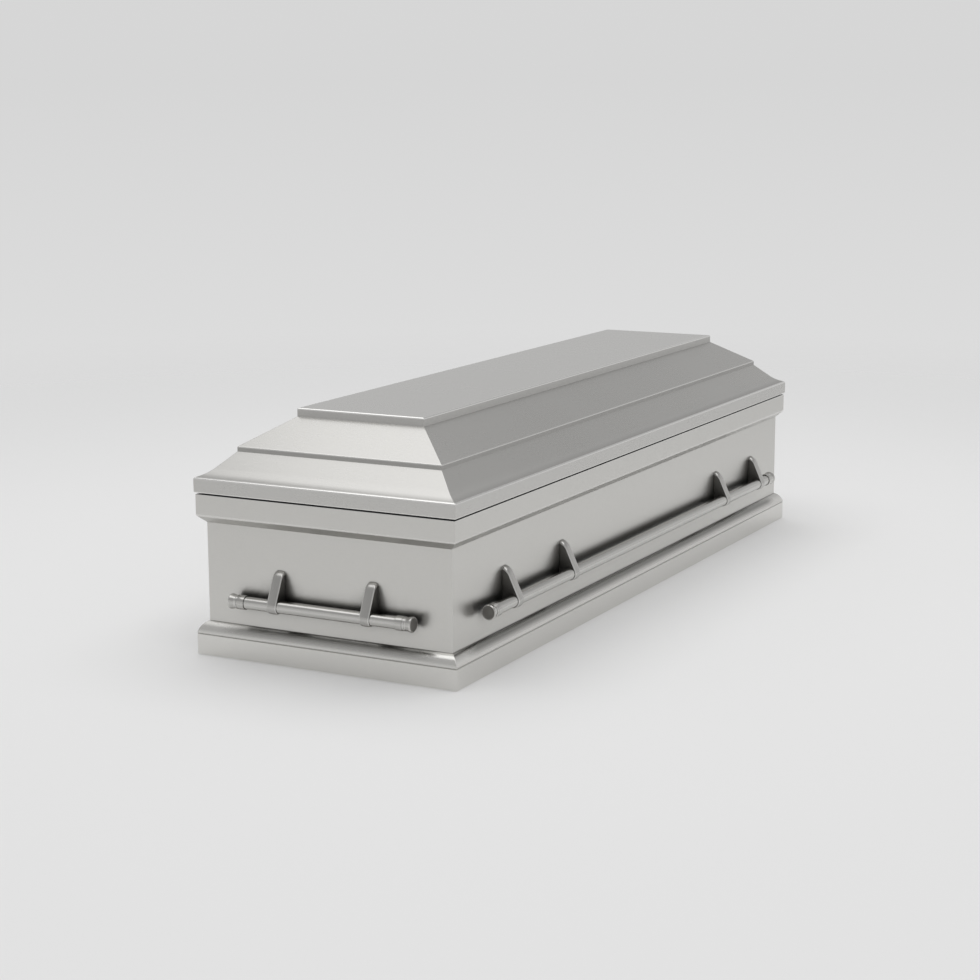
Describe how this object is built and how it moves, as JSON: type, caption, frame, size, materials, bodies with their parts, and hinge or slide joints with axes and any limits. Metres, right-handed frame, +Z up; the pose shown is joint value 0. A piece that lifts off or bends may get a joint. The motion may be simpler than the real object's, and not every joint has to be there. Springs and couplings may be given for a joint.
{
  "type": "funeral casket",
  "caption": "Adult casket in brushed stainless steel: hollow box with moulded base, stepped hip lid that lifts off on a rubber gasket, and fixed bar handles on cast arms.",
  "frame": {"origin": "on the ground under the middle of the casket, level with the underside of the base moulding", "axes": "+X along the length towards the right end, +Y across the width towards the back, +Z up"},
  "size_m": [2.183, 0.7544, 0.5844],
  "materials": {
    "base_steel": "satin brushed stainless steel",
    "body_steel": "satin brushed stainless steel",
    "lid_steel": "satin brushed stainless steel",
    "gasket_rubber": "matt black",
    "bar_steel": "fine brushed, half bright",
    "tip_steel": "turned, half bright",
    "arm_steel": "cast and brushed, half bright"
  },
  "bodies": {
    "root": {"base_moulding": "base_steel", "casket_body": "body_steel", "lid_gasket": "gasket_rubber", "casket_lid": "lid_steel", "bar_front": "bar_steel", "bar_back": "bar_steel", "bar_left": "bar_steel", "bar_right": "bar_steel", "bar_front_tip_left": "tip_steel", "bar_front_tip_right": "tip_steel", "bar_back_tip_left": "tip_steel", "bar_back_tip_right": "tip_steel", "bar_left_tip_front": "tip_steel", "bar_left_tip_back": "tip_steel", "bar_right_tip_front": "tip_steel", "bar_right_tip_back": "tip_steel", "bar_front_arm_1": "arm_steel", "bar_front_arm_2": "arm_steel", "bar_front_arm_3": "arm_steel", "bar_front_arm_4": "arm_steel", "bar_back_arm_1": "arm_steel", "bar_back_arm_2": "arm_steel", "bar_back_arm_3": "arm_steel", "bar_back_arm_4": "arm_steel", "bar_left_arm_front": "arm_steel", "bar_left_arm_back": "arm_steel", "bar_right_arm_front": "arm_steel", "bar_right_arm_back": "arm_steel"}
  },
  "joints": []
}
